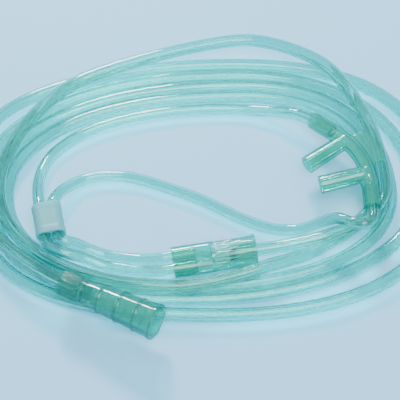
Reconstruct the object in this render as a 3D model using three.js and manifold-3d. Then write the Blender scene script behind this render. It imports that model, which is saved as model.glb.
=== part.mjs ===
import * as THREE from "three";
import { mergeVertices } from "three/addons/utils/BufferGeometryUtils.js";
import Module from "manifold-3d";

// A nasal oxygen cannula lying loosely coiled on a table, in millimetres with +Z up.
// The table is z = 0. Places are read on the table as laid out and moved to the base centre at the end.

const wasm = await Module();
wasm.setup();

// Tubing: outer and bore radius of the supply tube and of the two headset tubes.
const supplyRadius = 2.5;
const supplyBore = 1.6;
const supplySides = 10;
const headsetRadius = 2.15;
const headsetBore = 1.1;
const headsetSides = 8;
const socketPlay = 0.3;
const supplySocket = supplyRadius + socketPlay;
const headsetSocket = headsetRadius + socketPlay;
const tableClearance = 0.05;
const lying = supplyRadius + tableClearance;

// Supply connector, measured from the end of its ribbed collar to its open mouth.
const collarEnd = new THREE.Vector3(-48.2, -41.9, 10.0);
const mouthEnd = new THREE.Vector3(-14.7, -59.3, 11.7);
const collarRadius = 4.45;
const collarLength = 7.6;
const collarRibs = 20;
const ribHeight = 0.3;
const grooveRadius = 4.0;
const grooveWidth = 0.7;
const grooveSpacing = 1.8;
const flareRadii = [4.9, 5.35, 5.75, 6.15];
const flareSteps = [11.6, 16.2, 23.6, 30.8];
const stepRise = 0.2;
const mouthRadius = 6.45;
const rimLength = 1.4;
const supplySocketDepth = 11;
const landLength = 2.2;
const throatRadius = 3.3;
const throatLength = 9;
const mouthBore = 5.15;
const lipWidth = 2.4;
const lipReach = 0.9;
const lipLength = 2.2;

// Y connector, measured from the two headset ports to the supply socket.
const portEnd = new THREE.Vector3(-9.6, -30.5, 4.6);
const socketEnd = new THREE.Vector3(20, -26, 5.95);
const portSpacing = 5.4;
const flatWidth = 12;
const flatThickness = 6.6;
const flatLength = 15;
const barrelRadius = 5.05;
const barrelEndRadius = 5.45;
const barrelRibs = 24;
const shoulderRadius = 5.3;
const shoulderLength = 1.2;
const barrelRimLength = 1.1;
const portDepth = 8.5;
const supplySeat = 9.5;

// Slider, a soft sleeve round both headset tubes.
const sliderCentre = new THREE.Vector3(-54.6, -14.9, 8.2);
const sliderHeading = 102;
const sliderLength = 13.4;
const sliderWidth = 10.9;
const sliderThickness = 6.6;
const sliderWaist = 0.35;
const beadLength = 2.6;
const tubeSpacing = 4.7;
const channelRadius = headsetRadius + socketPlay;

// Nosepiece: a curved hollow body with an arm at each end, two prongs and a lip tab.
const noseCentre = new THREE.Vector3(58.9, 12.1, 11.4);
const noseHeading = 113.2;
const noseTilt = 7.2;
const prongTilt = 5.5;
const bodyRadius = 3.0;
const bodySides = 16;
const bodyBend = 44;
const bodyArc = 27;
const armRadius = 3.2;
const armLength = 12.2;
const armRingRadius = 3.5;
const armRingLength = 1.2;
const armDepth = 10;
const lumenRadius = 1.9;
const prongRootOffset = 9.2;
const prongTipOffset = 5.5;
const prongReach = 18.9;
const prongRootRadius = 3.0;
const prongTipRadius = 3.4;
const prongBore = 2.2;
const tabWidth = 16;
const tabOffset = 1.8;
const tabReach = 8.4;
const tabThickness = 1.2;
const tabCorner = 3;

const roundSegments = 32;
const weld = 1e-4;
const pastEnd = 1;

// Stops along the coil, from the Y connector to the supply connector. A stop has its place on the table,
// its heading in degrees, how far the curve is pulled towards the corner before and after it,
// and the number of sections from it to the next stop.
const coilStops = [
  { at: socketEnd.toArray(), heading: 8.65, pull: [0.5, 0.6], sections: 2 },
  { at: [44, -21.9, 8.0], heading: 19, pull: [0.6, 0.68], sections: 3 },
  { at: [68.4, 2, 7.4], heading: 90, pull: [0.66, 0.55], sections: 2 },
  { at: [49, 58, 8.2], heading: 135, pull: [0.5, 0.5], sections: 2 },
  { at: [18, 72.5, 6.7], heading: 180, pull: [0.55, 0.5], sections: 2 },
  { at: [-43, 52.5, 8.2], heading: 207, pull: [0.5, 0.5], sections: 3 },
  { at: [-73.9, 2, 7.5], heading: 270, pull: [0.6, 0.55], sections: 4 },
  { at: [-8, -42, 7.3], heading: 1, pull: [0.6, 0.5], sections: 2 },
  { at: [22, -34.2, 7.0], heading: 24, pull: [0.5, 0.5], sections: 1 },
  { at: [41, -24.2, lying], heading: 31, pull: [0.5, 0.66], sections: 3 },
  { at: [65.2, 2, lying], heading: 90, pull: [0.66, 0.6], sections: 4 },
  { at: [16, 47.2, lying], heading: 180, pull: [0.68, 0.6], sections: 4 },
  { at: [-71.3, 2, lying], heading: 270, pull: [0.6, 0.6], sections: 4 },
  { at: [-6, -39.4, lying], heading: 0, pull: [0.62, 0.62], sections: 4 },
  { at: [70.5, 2, lying], heading: 90, pull: [0.6, 0.6], sections: 4 },
  { at: [16, 52.4, lying], heading: 180, pull: [0.66, 0.6], sections: 4 },
  { at: [-76.5, 2, lying], heading: 270, pull: [0.6, 0.65], sections: 4 },
  { at: [-6, -44.6, lying], heading: 0, pull: [0.7, 0.58], sections: 4 },
  { at: [80.5, 2, lying], heading: 90, pull: [0.58, 0.5], sections: 4 },
  { at: [14, 57.7, lying], heading: 180, pull: [0.7, 0.6], sections: 4 },
  { at: [-81.8, 2, lying], heading: 270, pull: [0.62, 0.65], sections: 4 },
  { at: [6, -51, lying], heading: 0, pull: [0.75, 0.64], sections: 4 },
  { at: [88, 2, lying], heading: 90, pull: [0.62, 0.55], sections: 4 },
  { at: [14, 63.2, lying], heading: 180, pull: [0.8, 0.6], sections: 3 },
  { at: [-80.4, 30.2, 4.2], heading: 246, pull: [0.55, 0.5], sections: 2 },
  { at: [-84.4, 2, 7.5], heading: 270, pull: [0.5, 0.5], sections: 3 },
  { at: collarEnd.toArray(), heading: -27.4, pull: [0.55, 0.4], sections: 0 },
];

// Points along the headset tubes between the Y connector, the slider and the nosepiece.
const leftToSlider = [
  [-14.5, -33.6, 4.0], [-21, -32.8, 2.7], [-28, -31.5, 2.3], [-35, -30, 2.4],
  [-41.5, -28.4, 4.6], [-47.6, -28.2, 7.3], [-53.1, -25.9, 8],
];
const leftToNose = [
  [-59.3, -2.5, 6.9], [-59.7, 4, 5.0], [-58.7, 12, 3.2], [-55.3, 19.6, 2.3], [-49, 26, 2.3],
  [-41, 31.2, 2.3], [-31.5, 35.1, 2.3], [-21, 38, 2.3], [-10.8, 39.9, 2.3], [0, 41.1, 2.3],
  [9.7, 41.3, 2.3], [19.3, 40.6, 2.6], [28.2, 38.6, 4.2], [36, 35.6, 6.6],
];
const rightToSlider = [
  [-15.3, -28.4, 4.0], [-21, -27.9, 2.7], [-28, -27, 2.3], [-35, -25.4, 2.3],
  [-40.4, -24, 3.9], [-44.6, -23.3, 6.2], [-48.6, -23.1, 7.9],
];
const rightToNose = [
  [-52.6, -3.4, 7.2], [-50.6, 0.6, 5.4], [-47.6, 4.3, 3.7], [-43.8, 7.2, 2.6], [-38.8, 8.9, 2.3],
  [-32.5, 9.3, 2.3], [-25.4, 8.6, 2.3], [-17.9, 6.3, 2.3], [-9.3, 2.9, 2.3], [0, -1.2, 2.3],
  [9.2, -6.5, 2.3], [18.3, -11.4, 2.3], [27.3, -14.6, 2.4], [36.4, -15.6, 3.8], [43.4, -15.3, 7.9],
  [49, -16.3, 12], [54, -19.2, 13.6], [58.6, -20.3, 14.4], [61.6, -17.6, 14.2],
];

// Point under the middle of the moulded pieces, which becomes the origin.
const base = new THREE.Vector3(3.45, -15.6, 0);

const radians = THREE.MathUtils.degToRad;

// A route whose sections fall exactly on its points.
class Route extends THREE.CatmullRomCurve3 {
  getPointAt(share, target) {
    return this.getPoint(share, target);
  }
  getTangentAt(share, target) {
    return this.getTangent(share, target);
  }
}

function circlePoints(radius, sides) {
  return Array.from({ length: sides }, (_, side) => {
    const turn = (2 * Math.PI * side) / sides;
    return new THREE.Vector2(radius * Math.cos(turn), radius * Math.sin(turn));
  });
}

function tubeShape(outer, bore, sides) {
  const shape = new THREE.Shape(circlePoints(outer, sides));
  shape.holes.push(new THREE.Path(circlePoints(bore, sides)));
  return shape;
}

function sweep(shape, points) {
  const extrudePath = new Route(points, false, "catmullrom", 0.5);
  return new THREE.ExtrudeGeometry(shape, { steps: points.length - 1, extrudePath, bevelEnabled: false });
}

// One body turned about +Z, from a profile of [radius, height] pairs that closes on itself.
function turned(profile, segments = roundSegments) {
  const points = [...profile, profile[0]].map(([radius, height]) => new THREE.Vector2(radius, height));
  return solidOf(new THREE.LatheGeometry(points, segments).rotateX(Math.PI / 2));
}

function extruded(shape, length, from = 0) {
  const options = { depth: length, bevelEnabled: false, curveSegments: roundSegments / 2 };
  return solidOf(new THREE.ExtrudeGeometry(shape, options).translate(0, 0, from));
}

// A round bar from one point to another, for bores and prongs.
function bar(from, to, radiusFrom, radiusTo = radiusFrom, segments = roundSegments) {
  const length = from.distanceTo(to);
  const geometry = new THREE.CylinderGeometry(radiusTo, radiusFrom, length, segments);
  geometry.translate(0, length / 2, 0);
  const direction = to.clone().sub(from).normalize();
  const turn = new THREE.Quaternion().setFromUnitVectors(new THREE.Vector3(0, 1, 0), direction);
  return solidOf(geometry.applyQuaternion(turn).translate(from.x, from.y, from.z));
}

function solidOf(geometry) {
  const bare = geometry.index ? geometry.toNonIndexed() : geometry;
  bare.deleteAttribute("normal");
  bare.deleteAttribute("uv");
  const merged = mergeVertices(bare, weld);
  const vertProperties = merged.attributes.position.array;
  const triVerts = new Uint32Array(merged.index.array);
  return new wasm.Manifold(new wasm.Mesh({ numProp: 3, vertProperties, triVerts }));
}

function geometryOf(solid) {
  const mesh = solid.getMesh();
  const geometry = new THREE.BufferGeometry();
  geometry.setAttribute("position", new THREE.BufferAttribute(new Float32Array(mesh.vertProperties), 3));
  geometry.setIndex(new THREE.BufferAttribute(new Uint32Array(mesh.triVerts), 1));
  geometry.computeVertexNormals();
  return geometry;
}

function joined(solids) {
  return solids.reduce((whole, solid) => whole.add(solid));
}

function cutBy(solid, cutters) {
  return cutters.reduce((rest, cutter) => rest.subtract(cutter), solid);
}

// The frame of a piece that runs from one end to the other, its third axis along the run.
function frameAlong(from, to) {
  const along = to.clone().sub(from).normalize();
  const side = new THREE.Vector3(0, 0, 1).cross(along).normalize();
  const up = along.clone().cross(side);
  return new THREE.Matrix4().makeBasis(side, up, along).setPosition(from);
}

function ribbedRing(radius, ribs, rib, length, from) {
  const outline = [];
  for (let tooth = 0; tooth < ribs; tooth += 1) {
    for (const [share, reach] of [[0, radius], [0.3, radius + rib], [0.6, radius + rib], [0.9, radius]]) {
      const turn = (2 * Math.PI * (tooth + share)) / ribs;
      outline.push(new THREE.Vector2(reach * Math.cos(turn), reach * Math.sin(turn)));
    }
  }
  return extruded(new THREE.Shape(outline), length, from);
}

function stadium(width, thickness) {
  const shape = new THREE.Shape();
  const radius = thickness / 2;
  const reach = width / 2 - radius;
  shape.moveTo(-reach, -radius);
  shape.lineTo(reach, -radius);
  shape.absarc(reach, 0, radius, -Math.PI / 2, Math.PI / 2, false);
  shape.lineTo(-reach, radius);
  shape.absarc(-reach, 0, radius, Math.PI / 2, (3 * Math.PI) / 2, false);
  return shape;
}

// The coil: between two stops runs a cubic curve that leaves and arrives along their headings.
function coilPoints() {
  const points = [new THREE.Vector3(...coilStops[0].at)];
  for (let index = 1; index < coilStops.length; index += 1) {
    const from = coilStops[index - 1];
    const to = coilStops[index];
    const start = new THREE.Vector3(...from.at);
    const end = new THREE.Vector3(...to.at);
    const leave = new THREE.Vector3(Math.cos(radians(from.heading)), Math.sin(radians(from.heading)), 0);
    const arrive = new THREE.Vector3(Math.cos(radians(to.heading)), Math.sin(radians(to.heading)), 0);
    const span = end.clone().sub(start);
    const cross = leave.x * arrive.y - leave.y * arrive.x;
    const toCorner = (span.x * arrive.y - span.y * arrive.x) / cross;
    const fromCorner = (leave.x * span.y - leave.y * span.x) / cross;
    const curve = new THREE.CubicBezierCurve3(
      start,
      start.clone().addScaledVector(leave, toCorner * from.pull[1]),
      end.clone().addScaledVector(arrive, -fromCorner * to.pull[0]),
      end,
    );
    for (let section = 1; section <= from.sections; section += 1) {
      points.push(curve.getPoint(section / from.sections));
    }
  }
  return points;
}

function makeSupplyConnector() {
  const length = collarEnd.distanceTo(mouthEnd);
  const [first, second, third, fourth] = flareRadii;
  const [stepA, stepB, stepC, stepD] = flareSteps;
  const grooveEnd = collarLength + grooveSpacing;
  const seat = supplySocketDepth + landLength;
  const throatEnd = seat + throatLength;
  const shell = turned([
    [supplySocket, 0],
    [collarRadius, 0],
    [collarRadius, collarLength],
    [grooveRadius, collarLength],
    [grooveRadius, collarLength + grooveWidth],
    [collarRadius, collarLength + grooveWidth],
    [collarRadius, grooveEnd],
    [grooveRadius, grooveEnd],
    [grooveRadius, grooveEnd + grooveWidth],
    [collarRadius, grooveEnd + grooveWidth],
    [collarRadius, stepA],
    [first, stepB],
    [first + stepRise, stepB],
    [second, stepC],
    [second + stepRise, stepC],
    [third, stepD],
    [third + stepRise, stepD],
    [fourth, length - rimLength],
    [mouthRadius, length - rimLength],
    [mouthRadius, length],
    [mouthBore, length],
    [mouthBore - stepRise, throatEnd],
    [throatRadius, throatEnd],
    [throatRadius, seat],
    [supplyBore, seat],
    [supplyBore, supplySocketDepth],
    [supplySocket, supplySocketDepth],
  ]);
  const ribs = ribbedRing(collarRadius - ribHeight / 2, collarRibs, ribHeight, collarLength, 0);
  const ribSleeve = ribs.subtract(bar(new THREE.Vector3(0, 0, -pastEnd), new THREE.Vector3(0, 0, length), grooveRadius));
  const lipShape = new THREE.Shape([
    new THREE.Vector2(-lipWidth / 2, -mouthRadius + lipReach),
    new THREE.Vector2(0, -mouthRadius - lipReach),
    new THREE.Vector2(lipWidth / 2, -mouthRadius + lipReach),
  ]);
  const lip = extruded(lipShape, lipLength, length - lipLength);
  const bore = bar(new THREE.Vector3(0, 0, throatEnd), new THREE.Vector3(0, 0, length + pastEnd), mouthBore);
  return joined([shell, ribSleeve, lip.subtract(bore)]);
}

function makeYConnector() {
  const length = portEnd.distanceTo(socketEnd);
  const flat = extruded(stadium(flatWidth, flatThickness), flatLength);
  const barrel = turned([
    [0, flatLength - shoulderLength],
    [shoulderRadius, flatLength - shoulderLength],
    [shoulderRadius, flatLength],
    [barrelRadius, flatLength],
    [barrelEndRadius, length - barrelRimLength],
    [barrelEndRadius + ribHeight, length - barrelRimLength],
    [barrelEndRadius + ribHeight, length],
    [0, length],
  ]);
  const ribLength = length - barrelRimLength - flatLength;
  const ribs = ribbedRing(barrelRadius, barrelRibs, ribHeight, ribLength, flatLength);
  const chamber = new THREE.Vector3(0, 0, flatLength + shoulderLength);
  const cutters = [
    bar(new THREE.Vector3(0, 0, length - supplySeat), new THREE.Vector3(0, 0, length + pastEnd), supplySocket),
    bar(chamber, new THREE.Vector3(0, 0, length - supplySeat + pastEnd), supplyBore),
  ];
  for (const side of [-1, 1]) {
    const port = new THREE.Vector3((side * portSpacing) / 2, 0, -pastEnd);
    const seat = new THREE.Vector3((side * portSpacing) / 2, 0, portDepth);
    cutters.push(bar(port, seat, headsetSocket));
    cutters.push(bar(seat.clone().setZ(portDepth - pastEnd), chamber.clone().setZ(chamber.z + pastEnd), headsetBore));
  }
  return cutBy(joined([flat, barrel, ribs]), cutters);
}

function makeSlider() {
  const waist = extruded(stadium(sliderWidth - sliderWaist, sliderThickness - sliderWaist), sliderLength);
  const bead = extruded(stadium(sliderWidth, sliderThickness), beadLength);
  const farBead = extruded(stadium(sliderWidth, sliderThickness), beadLength, sliderLength - beadLength);
  const channels = [-1, 1].map((side) => {
    const x = (side * tubeSpacing) / 2;
    return bar(new THREE.Vector3(x, 0, -pastEnd), new THREE.Vector3(x, 0, sliderLength + pastEnd), channelRadius);
  });
  return cutBy(joined([waist, bead, farBead]), channels);
}

// A place on the nosepiece's centre line, at a distance along it from the middle.
function noseLine(distance) {
  const bendRadius = bodyArc / radians(bodyBend);
  const half = bodyArc / 2;
  const inArc = Math.min(Math.abs(distance), half);
  const beyond = Math.abs(distance) - inArc;
  const turn = inArc / bendRadius;
  const x = bendRadius * Math.sin(turn) + beyond * Math.cos(turn);
  const y = bendRadius * (1 - Math.cos(turn)) + beyond * Math.sin(turn);
  return new THREE.Vector3(Math.sign(distance) * x, y, 0);
}

function noseRun(from, to, pieces) {
  return Array.from({ length: pieces + 1 }, (_, piece) => noseLine(from + ((to - from) * piece) / pieces));
}

function makeNosepiece() {
  const half = bodyArc / 2;
  const end = half + armLength;
  const bend = 10;
  const body = solidOf(sweep(new THREE.Shape(circlePoints(bodyRadius, bodySides)), noseRun(-half, half, bend)));
  const lumen = solidOf(sweep(new THREE.Shape(circlePoints(lumenRadius, bodySides)), noseRun(-end, end, 2 * bend)));
  const solids = [body];
  const cutters = [lumen];
  for (const side of [-1, 1]) {
    solids.push(bar(noseLine(side * (half - pastEnd)), noseLine(side * end), armRadius));
    solids.push(bar(noseLine(side * half), noseLine(side * (half + armRingLength)), armRingRadius));
    cutters.push(bar(noseLine(side * (end - armDepth)), noseLine(side * (end + pastEnd)), headsetSocket));
    const root = new THREE.Vector3(side * prongRootOffset, 0.8, 0);
    const tip = new THREE.Vector3(side * prongTipOffset, prongReach, 0);
    const beyond = tip.clone().sub(root).normalize().multiplyScalar(pastEnd).add(tip);
    solids.push(bar(root, tip, prongRootRadius, prongTipRadius));
    cutters.push(bar(root, beyond, prongBore));
  }
  const tabShape = new THREE.Shape();
  const right = tabWidth / 2;
  tabShape.moveTo(-right, 0);
  tabShape.lineTo(-right, tabCorner - tabReach);
  tabShape.quadraticCurveTo(-right, -tabReach, tabCorner - right, -tabReach);
  tabShape.lineTo(right - tabCorner, -tabReach);
  tabShape.quadraticCurveTo(right, -tabReach, right, tabCorner - tabReach);
  tabShape.lineTo(right, 0);
  solids.push(extruded(tabShape, tabThickness, -tabThickness / 2).translate([tabOffset, 0, 0]));
  return cutBy(joined(solids), cutters);
}

function noseFrame() {
  const heading = radians(noseHeading);
  const tilt = radians(noseTilt);
  const droop = radians(prongTilt);
  const along = new THREE.Vector3(
    Math.cos(heading) * Math.cos(tilt),
    Math.sin(heading) * Math.cos(tilt),
    -Math.sin(tilt),
  );
  const level = new THREE.Vector3(-Math.sin(heading), Math.cos(heading), 0);
  const up = along.clone().cross(level);
  const outward = level.multiplyScalar(Math.cos(droop)).addScaledVector(up, -Math.sin(droop));
  return new THREE.Matrix4().makeBasis(along, outward, along.clone().cross(outward)).setPosition(noseCentre);
}

function sliderFrame() {
  const heading = radians(sliderHeading);
  const along = new THREE.Vector3(Math.cos(heading), Math.sin(heading), 0);
  const from = sliderCentre.clone().addScaledVector(along, -sliderLength / 2);
  return frameAlong(from, sliderCentre);
}

// The headset tube on one side: side is +1 for the tube in the left half of the slider.
function headsetPoints(side, toSlider, toNose) {
  const yFrame = frameAlong(portEnd, socketEnd);
  const slider = sliderFrame();
  const nose = noseFrame();
  const portOffset = (-side * portSpacing) / 2;
  const channelOffset = (side * tubeSpacing) / 2;
  const run = bodyArc / 2 + armLength;
  const yPoints = [portDepth - socketPlay, portDepth / 2, 0].map((depth) =>
    new THREE.Vector3(portOffset, 0, depth).applyMatrix4(yFrame),
  );
  const sliderPoints = [0, sliderLength / 2, sliderLength].map((depth) =>
    new THREE.Vector3(channelOffset, 0, depth).applyMatrix4(slider),
  );
  const nosePoints = [0, armDepth / 2, armDepth - socketPlay].map((depth) =>
    noseLine(side * (run - depth)).applyMatrix4(nose),
  );
  const between = (list) => list.map((place) => new THREE.Vector3(...place));
  return [...yPoints, ...between(toSlider), ...sliderPoints, ...between(toNose), ...nosePoints];
}

function supplyPoints() {
  const yFrame = frameAlong(portEnd, socketEnd);
  const yLength = portEnd.distanceTo(socketEnd);
  const connector = frameAlong(collarEnd, mouthEnd);
  const inY = new THREE.Vector3(0, 0, yLength - supplySeat + socketPlay).applyMatrix4(yFrame);
  const inCollar = new THREE.Vector3(0, 0, supplySocketDepth - socketPlay).applyMatrix4(connector);
  return [inY, ...coilPoints(), inCollar];
}

function addPiece(name, geometry, frame, color, finish) {
  const mesh = new THREE.Mesh(geometry, new THREE.MeshStandardMaterial({ color, ...finish }));
  mesh.name = name;
  mesh.applyMatrix4(frame);
  cannula.add(mesh);
}

const cannula = new THREE.Group();
cannula.name = "nasal_cannula";
cannula.position.copy(base).negate();

const level = new THREE.Matrix4();
const clearVinyl = { roughness: 0.22, transparent: true, opacity: 0.75 };
const softVinyl = { roughness: 0.3, transparent: true, opacity: 0.9 };
const milkyVinyl = { roughness: 0.45 };

addPiece("nosepiece", geometryOf(makeNosepiece()), noseFrame(), 0x2fb7a6, softVinyl);
addPiece("slider", geometryOf(makeSlider()), sliderFrame(), 0xbfe3e2, milkyVinyl);
addPiece("y_connector", geometryOf(makeYConnector()), frameAlong(portEnd, socketEnd), 0x33bfa9, softVinyl);
addPiece("supply_connector", geometryOf(makeSupplyConnector()), frameAlong(collarEnd, mouthEnd), 0x1fa795, softVinyl);

const headsetShape = tubeShape(headsetRadius, headsetBore, headsetSides);
const leftRoute = headsetPoints(1, leftToSlider, leftToNose);
const rightRoute = headsetPoints(-1, rightToSlider, rightToNose);
addPiece("headset_tube_left", sweep(headsetShape, leftRoute), level, 0x8fd6d3, clearVinyl);
addPiece("headset_tube_right", sweep(headsetShape, rightRoute), level, 0x8fd6d3, clearVinyl);

const supplyShape = tubeShape(supplyRadius, supplyBore, supplySides);
addPiece("supply_tube", sweep(supplyShape, supplyPoints()), level, 0x83d0cf, clearVinyl);

export default cannula;
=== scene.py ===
import math

import bmesh
import bpy
from mathutils import Matrix, Vector


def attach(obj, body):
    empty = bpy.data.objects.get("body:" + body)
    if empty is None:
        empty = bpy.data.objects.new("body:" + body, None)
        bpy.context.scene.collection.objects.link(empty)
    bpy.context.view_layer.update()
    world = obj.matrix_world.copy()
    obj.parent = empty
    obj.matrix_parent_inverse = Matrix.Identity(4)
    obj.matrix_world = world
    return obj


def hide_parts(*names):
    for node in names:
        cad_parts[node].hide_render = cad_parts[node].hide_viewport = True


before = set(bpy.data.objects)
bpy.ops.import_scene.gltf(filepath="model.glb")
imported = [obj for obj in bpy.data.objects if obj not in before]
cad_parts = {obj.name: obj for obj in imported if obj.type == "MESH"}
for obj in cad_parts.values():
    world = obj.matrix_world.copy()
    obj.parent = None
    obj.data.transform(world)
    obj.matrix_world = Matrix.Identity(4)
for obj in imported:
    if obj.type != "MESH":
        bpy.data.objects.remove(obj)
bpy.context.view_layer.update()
print("frame loaded")

mm = 0.001
base = Vector((3.45, -15.6, 0.0))  # the table point that is the part's origin, where the layout was read


def place(point):
    # a layout point in mm, as a point of the part in metres
    return (Vector(point) - base) * mm


def linear(hexColour):
    # sRGB hex to the linear colour that the shaders take
    channels = [int(hexColour[i:i + 2], 16) / 255 for i in (1, 3, 5)]
    return tuple(c / 12.92 if c <= 0.04045 else ((c + 0.055) / 1.055) ** 2.4 for c in channels) + (1.0,)


def addObject(name, data):
    thing = bpy.data.objects.new(name, data)
    bpy.context.scene.collection.objects.link(thing)
    return thing


# The camera, whose view the cords were judged against.
cameraSet = {
    "elevation": 55.0,
    "distance": 550.0,
    "lens": 133.4,
    "sensor": 36.0,
    "nearest": 10.0,
    "farthest": 20000.0,
    "lookAt": (0.0, 0.0, 0.0),
}


def makeCamera():
    data = bpy.data.cameras.new("camera")
    data.lens = cameraSet["lens"]
    data.sensor_width = cameraSet["sensor"]
    data.clip_start = cameraSet["nearest"] * mm
    data.clip_end = cameraSet["farthest"] * mm
    camera = addObject("camera", data)
    tilt = math.radians(cameraSet["elevation"])
    towards = Vector((0.0, math.cos(tilt), -math.sin(tilt)))
    camera.location = place(cameraSet["lookAt"]) - towards * cameraSet["distance"] * mm
    camera.rotation_mode = "QUATERNION"
    camera.rotation_quaternion = towards.to_track_quat("-Z", "Y")
    bpy.context.scene.camera = camera


makeCamera()
print("camera placed")


# The moulded pieces' places, which the tubing runs into.
moulded = {
    "portEnd": (-9.6, -30.5, 4.6),
    "socketEnd": (20.0, -26.0, 5.95),
    "portSpacing": 5.4,
    "portDepth": 8.5,
    "supplySeat": 9.5,
    "collarEnd": (-48.2, -41.9, 10.0),
    "mouthEnd": (-14.7, -59.3, 11.7),
    "collarDepth": 11.0,
    "sliderCentre": (-54.6, -14.9, 8.2),
    "sliderHeading": 102.0,
    "sliderLength": 13.4,
    "tubeSpacing": 4.7,
    "noseCentre": (58.9, 12.1, 11.4),
    "noseHeading": 113.2,
    "noseTilt": 7.2,
    "prongTilt": 5.5,
    "bodyBend": 44.0,
    "bodyArc": 27.0,
    "armLength": 12.2,
    "armDepth": 10.0,
    "play": 0.3,
}


def headingLine(degrees):
    # a level direction, turned from x towards y
    turn = math.radians(degrees)
    return Vector((math.cos(turn), math.sin(turn), 0.0))


def frameAlong(start, end):
    # a piece's own axes, the third one along its run, in layout mm
    along = (Vector(end) - Vector(start)).normalized()
    side = Vector((0.0, 0.0, 1.0)).cross(along).normalized()
    up = along.cross(side)
    turn = Matrix((side, up, along)).transposed().to_4x4()
    return Matrix.Translation(Vector(start)) @ turn


def noseFrame():
    heading = math.radians(moulded["noseHeading"])
    tilt = math.radians(moulded["noseTilt"])
    droop = math.radians(moulded["prongTilt"])
    along = Vector((math.cos(heading) * math.cos(tilt), math.sin(heading) * math.cos(tilt), -math.sin(tilt)))
    level = Vector((-math.sin(heading), math.cos(heading), 0.0))
    up = along.cross(level)
    outward = level * math.cos(droop) - up * math.sin(droop)
    turn = Matrix((along, outward, along.cross(outward))).transposed().to_4x4()
    return Matrix.Translation(Vector(moulded["noseCentre"])) @ turn


def noseLine(distance):
    # along the nosepiece's curved middle and its straight arms
    bendRadius = moulded["bodyArc"] / math.radians(moulded["bodyBend"])
    inArc = min(abs(distance), moulded["bodyArc"] / 2)
    beyond = abs(distance) - inArc
    turn = inArc / bendRadius
    x = bendRadius * math.sin(turn) + beyond * math.cos(turn)
    y = bendRadius * (1 - math.cos(turn)) + beyond * math.sin(turn)
    return Vector((math.copysign(x, distance), y, 0.0))


def sliderFrame():
    along = headingLine(moulded["sliderHeading"])
    centre = Vector(moulded["sliderCentre"])
    return frameAlong(centre - along * moulded["sliderLength"] / 2, centre)


# The supply tube: clear green-tinted tubing of 5 mm with a five-pointed bore, coiled about five times.
supply = {
    "radius": 2.5,
    "bore": 1.55,
    "points": 5,
    "pointHeight": 0.16,
    "twistPerMetre": 0.6,
    "sides": 40,
    "lying": 2.55,
    "fineness": 6,
    "seatedPoints": 3,
}

low = supply["lying"]  # the tube's middle where it lies on the table
# place on the table, heading in degrees, pull towards the corner before and after, CAD sections to the next stop
coilStops = [
    (moulded["socketEnd"], 8.65, 0.5, 0.6, 2),
    ((44, -21.9, 8.0), 19, 0.6, 0.68, 3),
    ((68.4, 2, 7.4), 90, 0.66, 0.55, 2),
    ((49, 58, 8.2), 135, 0.5, 0.5, 2),
    ((18, 72.5, 6.7), 180, 0.55, 0.5, 2),
    ((-43, 52.5, 8.2), 207, 0.5, 0.5, 3),
    ((-73.9, 2, 7.5), 270, 0.6, 0.55, 4),
    ((-8, -42, 7.3), 1, 0.6, 0.5, 2),
    ((22, -34.2, 7.0), 24, 0.5, 0.5, 1),
    ((41, -24.2, low), 31, 0.5, 0.66, 3),
    ((65.2, 2, low), 90, 0.66, 0.6, 4),
    ((16, 47.2, low), 180, 0.68, 0.6, 4),
    ((-71.3, 2, low), 270, 0.6, 0.6, 4),
    ((-6, -39.4, low), 0, 0.62, 0.62, 4),
    ((70.5, 2, low), 90, 0.6, 0.6, 4),
    ((16, 52.4, low), 180, 0.66, 0.6, 4),
    ((-76.5, 2, low), 270, 0.6, 0.65, 4),
    ((-6, -44.6, low), 0, 0.7, 0.58, 4),
    ((80.5, 2, low), 90, 0.58, 0.5, 4),
    ((14, 57.7, low), 180, 0.7, 0.6, 4),
    ((-81.8, 2, low), 270, 0.62, 0.65, 4),
    ((6, -51, low), 0, 0.75, 0.64, 4),
    ((88, 2, low), 90, 0.62, 0.55, 4),
    ((14, 63.2, low), 180, 0.8, 0.6, 3),
    ((-80.4, 30.2, 4.2), 246, 0.55, 0.5, 2),
    ((-84.4, 2, 7.5), 270, 0.5, 0.5, 3),
    (moulded["collarEnd"], -27.4, 0.55, 0.4, 0),
]


def coilLine():
    # from stop to stop, each stretch bends towards the corner where its two headings meet
    points = [Vector(coilStops[0][0])]
    for fromStop, toStop in zip(coilStops, coilStops[1:]):
        start, leaveHeading, _, leavePull, sections = fromStop
        end, arriveHeading, arrivePull, _, _ = toStop
        start, end = Vector(start), Vector(end)
        leave, arrive = headingLine(leaveHeading), headingLine(arriveHeading)
        span = end - start
        cross = leave.x * arrive.y - leave.y * arrive.x
        toCorner = (span.x * arrive.y - span.y * arrive.x) / cross
        fromCorner = (leave.x * span.y - leave.y * span.x) / cross
        first = start + leave * toCorner * leavePull
        second = end - arrive * fromCorner * arrivePull
        steps = sections * supply["fineness"]
        for step in range(1, steps + 1):
            t = step / steps
            left = 1 - t
            points.append(start * left ** 3 + first * 3 * t * left ** 2 + second * 3 * t * t * left + end * t ** 3)
    return points


def supplyLine():
    yFrame = frameAlong(moulded["portEnd"], moulded["socketEnd"])
    yLength = (Vector(moulded["socketEnd"]) - Vector(moulded["portEnd"])).length
    collar = frameAlong(moulded["collarEnd"], moulded["mouthEnd"])
    seat = yLength - moulded["supplySeat"] + moulded["play"]
    deep = moulded["collarDepth"] - moulded["play"]
    count = supply["seatedPoints"]
    inY = [yFrame @ Vector((0, 0, seat + (yLength - seat) * i / count)) for i in range(count)]
    inCollar = [collar @ Vector((0, 0, deep * i / count)) for i in range(1, count + 1)]
    return inY + coilLine() + inCollar


# The headset tubes: finer tubing, from the Y connector's ports through the slider to the nosepiece's arms.
headset = {
    "radius": 2.15,
    "bore": 1.15,
    "points": 5,
    "pointHeight": 0.12,
    "twistPerMetre": 0.6,
    "sides": 36,
    "fineness": 8,
    "portKnot": 2,
}

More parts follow.
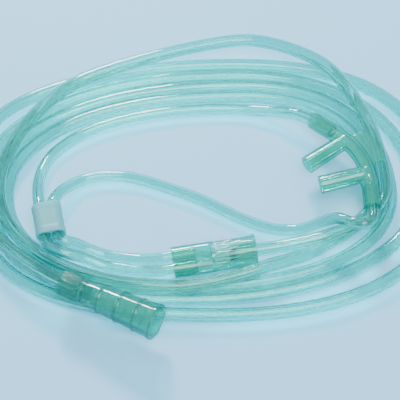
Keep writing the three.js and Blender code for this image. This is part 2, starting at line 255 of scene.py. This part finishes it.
# knots in layout mm, from the port to the slider and from the slider to the arm
leftToSlider = [
    (-14.5, -33.6, 4.0), (-21, -32.8, 2.7), (-28, -31.5, 2.3), (-35, -30, 2.4),
    (-41.5, -28.4, 4.6), (-47.6, -28.2, 7.3), (-53.1, -25.9, 8),
]
leftToNose = [
    (-59.3, -2.5, 6.9), (-59.7, 4, 5.0), (-58.7, 12, 3.2), (-55.3, 19.6, 2.3), (-49, 26, 2.3),
    (-41, 31.2, 2.3), (-31.5, 35.1, 2.3), (-21, 38, 2.3), (-10.8, 39.9, 2.3), (0, 41.1, 2.3),
    (9.7, 41.3, 2.3), (19.3, 40.6, 2.6), (28.2, 38.6, 4.2), (36, 35.6, 6.6),
]
rightToSlider = [
    (-15.3, -28.4, 4.0), (-21, -27.9, 2.7), (-28, -27, 2.3), (-35, -25.4, 2.3),
    (-40.4, -24, 3.9), (-44.6, -23.3, 6.2), (-48.6, -23.1, 7.9),
]
rightToNose = [
    (-52.6, -3.4, 7.2), (-50.6, 0.6, 5.4), (-47.6, 4.3, 3.7), (-43.8, 7.2, 2.6), (-38.8, 8.9, 2.3),
    (-32.5, 9.3, 2.3), (-25.4, 8.6, 2.3), (-17.9, 6.3, 2.3), (-9.3, 2.9, 2.3), (0, -1.2, 2.3),
    (9.2, -6.5, 2.3), (18.3, -11.4, 2.3), (27.3, -14.6, 2.4), (36.4, -15.6, 3.8), (43.4, -15.3, 7.9),
    (49, -16.3, 12), (54, -19.2, 13.6), (58.6, -20.3, 14.4), (61.6, -17.6, 14.2),
]


def headsetLine(side, toSlider, toNose):
    yFrame = frameAlong(moulded["portEnd"], moulded["socketEnd"])
    slider = sliderFrame()
    nose = noseFrame()
    port = -side * moulded["portSpacing"] / 2
    channel = side * moulded["tubeSpacing"] / 2
    run = moulded["bodyArc"] / 2 + moulded["armLength"]
    deep = moulded["portDepth"] - moulded["play"]
    knots = [yFrame @ Vector((port, 0, depth)) for depth in (deep, moulded["portDepth"] / 2, 0)]
    knots += [Vector(point) for point in toSlider]
    knots += [slider @ Vector((channel, 0, moulded["sliderLength"] * share)) for share in (0, 0.5, 1)]
    knots += [Vector(point) for point in toNose]
    knots += [
        nose @ noseLine(side * (run - depth))
        for depth in (0, moulded["armDepth"] / 2, moulded["armDepth"] - moulded["play"])
    ]
    return throughKnots(knots, headset["fineness"])


def throughKnots(knots, fineness):
    # a smooth line through the knots
    padded = [knots[0] * 2 - knots[1]] + knots + [knots[-1] * 2 - knots[-2]]
    points = []
    for a, b, c, d in zip(padded, padded[1:], padded[2:], padded[3:]):
        for step in range(fineness):
            t = step / fineness
            points.append(0.5 * (
                b * 2 + (c - a) * t + (a * 2 - b * 5 + c * 4 - d) * t * t + (b * 3 - a - c * 3 + d) * t ** 3
            ))
    return points + [knots[-1]]


def meshPiece(name, mesh, vinyls):
    # a smooth piece from its finished mesh
    data = bpy.data.meshes.new(name)
    mesh.normal_update()
    mesh.to_mesh(data)
    mesh.free()
    for vinyl in vinyls:
        data.materials.append(vinyl)
    for polygon in data.polygons:
        polygon.use_smooth = True
    return addObject(name, data)


def makeTube(name, line, tubing, vinyl):
    # extruded tubing with a real wall; the bore's long ridges show as lines down the tube
    points = [place(point) for point in line]
    sides = tubing["sides"]
    mesh = bmesh.new()
    around = mesh.loops.layers.uv.new("along")
    tangent = (points[1] - points[0]).normalized()
    side = tangent.orthogonal().normalized()
    travelled = 0.0
    rings = []
    for index, point in enumerate(points):
        before = points[max(index - 1, 0)]
        after = points[min(index + 1, len(points) - 1)]
        tangent = (after - before).normalized()
        side = (side - tangent * side.dot(tangent)).normalized()
        up = tangent.cross(side)
        travelled += (point - before).length
        twist = travelled * tubing["twistPerMetre"] * 2 * math.pi
        outer, inner = [], []
        for corner in range(sides):
            turn = 2 * math.pi * corner / sides
            direction = side * math.cos(turn) + up * math.sin(turn)
            ridge = tubing["pointHeight"] * math.cos(tubing["points"] * turn + twist)
            outer.append(mesh.verts.new(point + direction * tubing["radius"] * mm))
            inner.append(mesh.verts.new(point + direction * (tubing["bore"] + ridge) * mm))
        rings.append((outer, inner, travelled))
    for (outer, inner, start), (nextOuter, nextInner, end) in zip(rings, rings[1:]):
        for corner in range(sides):
            following = (corner + 1) % sides
            shell = mesh.faces.new((outer[corner], outer[following], nextOuter[following], nextOuter[corner]))
            lining = mesh.faces.new((inner[following], inner[corner], nextInner[corner], nextInner[following]))
            here, there = corner / sides, (corner + 1) / sides
            for loop, value in zip(shell.loops, ((start, here), (start, there), (end, there), (end, here))):
                loop[around].uv = value
            for loop, value in zip(lining.loops, ((start, there), (start, here), (end, here), (end, there))):
                loop[around].uv = value
    for (outer, inner, _), flip in ((rings[0], False), (rings[-1], True)):
        for corner in range(sides):
            following = (corner + 1) % sides
            face = (outer[corner], inner[corner], inner[following], outer[following])
            mesh.faces.new(face[::-1] if flip else face)
    return meshPiece(name, mesh, [vinyl])


def addNode(material, kind, settings=None, inputs=None):
    # one node with its settings; an input is a value, or a (node, output) to link from
    tree = material.node_tree
    node = tree.nodes.new(kind)
    for name, value in (settings or {}).items():
        setattr(node, name, value)
    for name, value in (inputs or {}).items():
        if isinstance(value, tuple) and isinstance(value[0], bpy.types.Node):
            tree.links.new(value[0].outputs[value[1]], node.inputs[name])
        else:
            node.inputs[name].default_value = value
    return node


def newMaterial(name):
    material = bpy.data.materials.new(name)
    material.use_nodes = True
    material.node_tree.nodes.clear()
    return material


# Soft PVC, extruded clear with a green tint: bright inside, dark along both edges, with thin hard highlights.
tubingLook = {
    "tint": "#7cf3ea", "streak": "#68e7dd", "edge": "#068f8a", "shadow": "#a0e8e8",
    "edgeFrom": 0.5, "roughness": 0.05, "bump": 0.03, "markDepth": 0.1,
    "dieLines": 30, "lineLength": 333.3,  # round 5 mm tubing the die lines are 0.5 mm apart
}

# Soft PVC, moulded: each wall tints what is behind it, so laps, rims and joins come out deeper.
tealTints = {
    "through": "#32f6ec", "throughMarks": "#28f0e4", "throughEdge": "#08aaa1",
    "body": "#00cabe", "bodyEdge": "#009087",
}
# the polished mould leaves it glossy, with faint flow marks about 4 mm long
polished = {"roughness": 0.06, "gloss": 0.045, "bump": 0.08, "markDepth": 0.2, "grain": 4.0}
mouldedLooks = {
    # glassy teal, walls about 1 mm
    "mouldedTealPvc": {**tealTints, **polished, "bodyShare": 0.15, "edgeFrom": 0.35},
    # the same in the connector's thicker wall: a little less clear, with broader dark edges
    "mouldedDeepTealPvc": {**tealTints, **polished, "bodyShare": 0.17, "edgeFrom": 0.3},
    # the deepest colour: in the collar, between the grooves and at the rim, the deeper tint of a thick wall; on
    # the flare's raised lines, partly that tint and partly painted shade for the dark line along each step
    "mouldedThickTealPvcAndPaintedStepShade": {
        "through": "#14d8cc", "throughMarks": "#0ed0c3", "throughEdge": "#048e84",
        "body": "#00aea2", "bodyEdge": "#007a71", **polished, "bodyShare": 0.25, "edgeFrom": 0.3,
    },
    # undyed and left matt: cloudy, with a fine bloom of 2.4 mm, soft light inside and hardly a highlight
    "mouldedMilkyPvc": {
        "through": "#c3ecec", "throughMarks": "#b4e4e6", "throughEdge": "#9bd3d8",
        "body": "#7fd6db", "bodyEdge": "#62bcc4", "bodyShare": 0.5, "edgeFrom": 0.4,
        "roughness": 0.4, "gloss": 0.01, "bump": 0.25, "markDepth": 0.2, "grain": 2.381,
    },
}

# What all of them share. A colour mix takes its colours on sockets 6 and 7, and gives its result on 2.
pvc = {
    "ior": 1.53,
    "roughnessSwing": (0.7, 1.4),  # what the marks do to the roughness
    "skinFrom": 0.4,  # where the skin's gloss begins to grow, facing to grazing
    "skinGrowth": 6,
}


def surfaceNodes(material, marks, look):
    # edges that deepen where the wall turns away, and the marks in the gloss and the relief
    grazing = addNode(material, "ShaderNodeLayerWeight", inputs={"Blend": 0.5})
    deepening = addNode(material, "ShaderNodeMapRange", inputs={
        "Value": (grazing, "Facing"), "From Min": look["edgeFrom"], "From Max": 1.0,
    })
    least, most = (look["roughness"] * swing for swing in pvc["roughnessSwing"])
    roughness = addNode(material, "ShaderNodeMapRange", inputs={
        "Value": (marks, "Fac"), "To Min": least, "To Max": most,
    })
    bump = addNode(material, "ShaderNodeBump", inputs={
        "Height": (marks, "Fac"), "Strength": look["bump"], "Distance": look["markDepth"] * mm,
    })
    return grazing, deepening, roughness, bump


def makeTubingVinyl():
    look = tubingLook
    material = newMaterial("extrudedClearPvc")
    spot = addNode(material, "ShaderNodeUVMap", {"uv_map": "along"})
    stretch = addNode(material, "ShaderNodeMapping", inputs={
        "Vector": (spot, "UV"), "Scale": (1 / (look["lineLength"] * mm), look["dieLines"], 1.0),
    })
    marks = addNode(material, "ShaderNodeTexNoise", inputs={
        "Vector": (stretch, "Vector"), "Scale": 1.0, "Detail": 2.0,
    })
    _, deepening, roughness, bump = surfaceNodes(material, marks, look)
    body = addNode(material, "ShaderNodeMix", {"data_type": "RGBA"}, {
        "Factor": (marks, "Fac"), 6: linear(look["tint"]), 7: linear(look["streak"]),
    })
    colour = addNode(material, "ShaderNodeMix", {"data_type": "RGBA"}, {
        "Factor": (deepening, "Result"), 6: (body, 2), 7: linear(look["edge"]),
    })
    vinyl = addNode(material, "ShaderNodeBsdfPrincipled", inputs={
        "Base Color": (colour, 2), "Roughness": (roughness, "Result"), "IOR": pvc["ior"],
        "Transmission Weight": 1.0, "Normal": (bump, "Normal"),
    })
    # light goes on through clear vinyl, so its shadow is pale and tinted
    through = addNode(material, "ShaderNodeBsdfTransparent", inputs={"Color": linear(look["shadow"])})
    path = addNode(material, "ShaderNodeLightPath")
    surface = addNode(material, "ShaderNodeMixShader", inputs={
        0: (path, "Is Shadow Ray"), 1: (vinyl, "BSDF"), 2: (through, "BSDF"),
    })
    addNode(material, "ShaderNodeOutputMaterial", inputs={"Surface": (surface, "Shader")})
    return material


def makeMouldedVinyl(name):
    look = mouldedLooks[name]
    material = newMaterial(name)
    spot = addNode(material, "ShaderNodeTexCoord")
    marks = addNode(material, "ShaderNodeTexNoise", inputs={
        "Vector": (spot, "Object"), "Scale": 1 / (look["grain"] * mm), "Detail": 3.0,
    })
    grazing, deepening, roughness, bump = surfaceNodes(material, marks, look)
    plainTint = addNode(material, "ShaderNodeMix", {"data_type": "RGBA"}, {
        "Factor": (marks, "Fac"), 6: linear(look["through"]), 7: linear(look["throughMarks"]),
    })
    tint = addNode(material, "ShaderNodeMix", {"data_type": "RGBA"}, {
        "Factor": (deepening, "Result"), 6: (plainTint, 2), 7: linear(look["throughEdge"]),
    })
    colour = addNode(material, "ShaderNodeMix", {"data_type": "RGBA"}, {
        "Factor": (deepening, "Result"), 6: linear(look["body"]), 7: linear(look["bodyEdge"]),
    })
    through = addNode(material, "ShaderNodeBsdfTransparent", inputs={"Color": (tint, 2)})
    body = addNode(material, "ShaderNodeBsdfPrincipled", inputs={
        "Base Color": (colour, 2), "Roughness": (roughness, "Result"), "IOR": pvc["ior"],
        "Normal": (bump, "Normal"),
    })
    inside = addNode(material, "ShaderNodeMixShader", inputs={
        0: look["bodyShare"], 1: (through, "BSDF"), 2: (body, "BSDF"),
    })
    skin = addNode(material, "ShaderNodeBsdfAnisotropic", inputs={
        "Roughness": (roughness, "Result"), "Normal": (bump, "Normal"),
    })
    sheen = addNode(material, "ShaderNodeMapRange", inputs={
        "Value": (grazing, "Facing"), "From Min": pvc["skinFrom"],
        "To Min": look["gloss"], "To Max": look["gloss"] * pvc["skinGrowth"],
    })
    surface = addNode(material, "ShaderNodeMixShader", inputs={
        0: (sheen, "Result"), 1: (inside, "Shader"), 2: (skin, "BSDF"),
    })
    addNode(material, "ShaderNodeOutputMaterial", inputs={"Surface": (surface, "Shader")})
    return material


clearTubing = makeTubingVinyl()
tealVinyl = makeMouldedVinyl("mouldedTealPvc")
deepTealVinyl = makeMouldedVinyl("mouldedDeepTealPvc")
thickTealAndStepShadeVinyl = makeMouldedVinyl("mouldedThickTealPvcAndPaintedStepShade")
milkyVinyl = makeMouldedVinyl("mouldedMilkyPvc")
print("materials made")


def makeCords():
    supplyPoints = supplyLine()
    tube = makeTube("supplyTubing", supplyPoints, supply, clearTubing)
    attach(tube, "root")
    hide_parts("supply_tube")
    for name, node, side, toSlider, toNose in (
        ("leftHeadsetTubing", "headset_tube_left", 1, leftToSlider, leftToNose),
        ("rightHeadsetTubing", "headset_tube_right", -1, rightToSlider, rightToNose),
    ):
        line = headsetLine(side, toSlider, toNose)
        tube = makeTube(name, line, headset, clearTubing)
        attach(tube, "root")
        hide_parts(node)


makeCords()
print("cords made")


# The supply connector: a ribbed collar round the tube's end, a double groove, and a flare that widens in steps,
# each with a raised line at its end, to an open mouth with a moulding tag on the rim.
connector = {
    "ribs": 20, "ribHeight": 0.34, "ribSharpness": 1.5, "ribbed": (0.4, 7.4),
    # distance from the collar's end and radius there, in mm
    "outer": [
        (0.0, 3.95), (0.25, 4.3), (0.5, 4.36), (7.3, 4.36), (7.6, 4.28), (7.65, 3.95), (8.25, 3.95), (8.35, 4.4),
        (9.35, 4.45), (9.45, 4.0), (10.05, 4.0), (10.15, 4.42), (11.6, 4.5),
        (15.6, 4.84), (15.75, 4.72), (15.9, 5.2), (16.35, 5.22), (16.5, 4.96),
        (23.0, 5.32), (23.15, 5.2), (23.3, 5.68), (23.8, 5.7), (23.95, 5.42),
        (30.2, 5.72), (30.35, 5.6), (30.5, 6.08), (31.0, 6.1), (31.15, 5.82),
        (36.2, 6.1), (36.45, 6.38), (36.8, 6.47), (37.5, 6.47), (37.75, 6.35), (37.8, 6.1),
    ],
    "inner": [
        (37.8, 5.4), (37.65, 5.15), (36.0, 5.14), (23.2, 4.97), (22.3, 4.9), (22.2, 3.3), (13.25, 3.3),
        (13.2, 1.6), (11.05, 1.6), (11.0, 2.78), (0.2, 2.8), (0.0, 2.95),
    ],
    # the stretches drawn deeper, from and to: a thick wall's deeper tint, with painted shade along the raised
    # lines
    "deepAndShadedBands": [(0.0, 8.3), (9.3, 10.1), (15.6, 16.5), (23.0, 23.95), (30.2, 31.15), (36.9, 37.8)],
    "tagAngle": -90.0, "tagReach": 0.9, "tagLength": 2.0, "tagWidth": 0.15, "tagFade": 3,
    "sides": 160, "step": 0.35,
}


def finer(profile, step):
    # the same outline with a point at least every step along the axis
    points = [profile[0]]
    for (start, startRadius), (end, endRadius) in zip(profile, profile[1:]):
        count = max(1, math.ceil(abs(end - start) / step))
        points += [
            (start + (end - start) * i / count, startRadius + (endRadius - startRadius) * i / count)
            for i in range(1, count + 1)
        ]
    return points


def connectorBump(distance, turn, length):
    # ribs on the collar, and the tag on the rim
    height = 0.0
    ribsFrom, ribsTo = connector["ribbed"]
    if ribsFrom < distance < ribsTo:
        wave = 0.5 + 0.5 * math.cos(connector["ribs"] * turn)
        height += connector["ribHeight"] * wave ** connector["ribSharpness"]
    fromMouth = length - distance
    if fromMouth < connector["tagLength"]:
        away = math.remainder(turn - math.radians(connector["tagAngle"]), 2 * math.pi)
        fade = 1 - (fromMouth / connector["tagLength"]) ** connector["tagFade"]
        height += connector["tagReach"] * fade * math.exp(-(away / connector["tagWidth"]) ** 2)
    return height


def makeConnector():
    axes = frameAlong(moulded["collarEnd"], moulded["mouthEnd"])
    length = (Vector(moulded["mouthEnd"]) - Vector(moulded["collarEnd"])).length
    reach = length / connector["outer"][-1][0]
    sides = connector["sides"]
    mesh = bmesh.new()
    rings, deepAndShadedBands = [], []
    for profile, outside in ((connector["outer"], True), (connector["inner"], False)):
        for distance, radius in finer(profile, connector["step"]):
            along = distance * reach
            ring = []
            for corner in range(sides):
                turn = 2 * math.pi * corner / sides
                r = radius + (connectorBump(along, turn, length) if outside else 0.0)
                ring.append(mesh.verts.new(place(axes @ Vector((r * math.cos(turn), r * math.sin(turn), along)))))
            rings.append(ring)
            deepAndShadedBands.append(outside and any(start <= distance < end for start, end in connector["deepAndShadedBands"]))
    # rings in these bands take the deepest teal: a thick wall's tint, and painted shade on the raised step lines
    for ring, following, inDeepAndShadedBands in zip(rings, rings[1:] + rings[:1], deepAndShadedBands):
        for corner in range(sides):
            beside = (corner + 1) % sides
            face = mesh.faces.new((ring[corner], ring[beside], following[beside], following[corner]))
            face.material_index = 1 if inDeepAndShadedBands else 0
    piece = meshPiece("supplyConnectorMoulding", mesh, [deepTealVinyl, thickTealAndStepShadeVinyl])
    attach(piece, "root")
    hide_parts("supply_connector")


makeConnector()
print("connector made")


# The other moulded pieces keep their solids' shapes, with the edges melted as a soft moulding has them.
softened = {
    "nosepiece": {"vinyl": tealVinyl, "voxel": 0.18, "passes": 4},
    "y_connector": {"vinyl": tealVinyl, "voxel": 0.12, "passes": 1},
    "slider": {"vinyl": milkyVinyl, "voxel": 0.16, "passes": 40},
}
weldDistance = 0.01


def softenNode(name, vinyl, voxel, passes):
    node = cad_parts[name]
    node.data.materials.clear()
    node.data.materials.append(vinyl)
    weld = node.modifiers.new("weld", "WELD")
    weld.merge_threshold = weldDistance * mm
    remesh = node.modifiers.new("remesh", "REMESH")
    remesh.mode = "VOXEL"
    remesh.voxel_size = voxel * mm
    remesh.use_smooth_shade = True
    smooth = node.modifiers.new("smooth", "SMOOTH")
    smooth.factor = 0.5
    smooth.iterations = passes


for nodeName, settings in softened.items():
    softenNode(nodeName, **settings)
print("moulded pieces softened")


# Painted board, rolled on and satin: an even pale blue with no highlight of its own.
table = {"reach": 3.0, "colour": "#97d6f6", "roughness": 0.6}

# places and sizes in metres, power in watts: a small key from behind for the thin highlights, and a broad fill
lights = {
    "keyLight": {"at": (-0.15, 0.85, 0.6), "size": 0.2, "power": 13.0, "colour": "#ffffff"},
    "fillLight": {"at": (0.2, -0.5, 1.2), "size": 0.9, "power": 18.0, "colour": "#eaf6ff"},
}
sky = {"colour": "#d2ecfb", "strength": 0.9}


def makeFloor():
    reach = table["reach"]
    corners = [(-reach, -reach, 0), (reach, -reach, 0), (reach, reach, 0), (-reach, reach, 0)]
    data = bpy.data.meshes.new("floor")
    data.from_pydata(corners, [], [(0, 1, 2, 3)])
    floor = addObject("floor", data)
    material = newMaterial("paintedBoard")
    surface = addNode(material, "ShaderNodeBsdfPrincipled", inputs={
        "Base Color": linear(table["colour"]), "Roughness": table["roughness"],
    })
    addNode(material, "ShaderNodeOutputMaterial", inputs={"Surface": (surface, "BSDF")})
    data.materials.append(material)


def makeLight(name, at, size, power, colour):
    data = bpy.data.lights.new(name, "AREA")
    data.shape = "DISK"
    data.size = size
    data.energy = power
    data.color = linear(colour)[:3]
    light = addObject(name, data)
    light.location = at
    light.rotation_mode = "QUATERNION"
    light.rotation_quaternion = (-Vector(at)).to_track_quat("-Z", "Y")


def makeSky():
    world = bpy.data.worlds.new("studio")
    world.use_nodes = True
    background = world.node_tree.nodes["Background"]
    background.inputs["Color"].default_value = linear(sky["colour"])
    background.inputs["Strength"].default_value = sky["strength"]
    bpy.context.scene.world = world


makeFloor()
for lightName, settings in lights.items():
    makeLight(lightName, **settings)
makeSky()
print("floor and lights made")
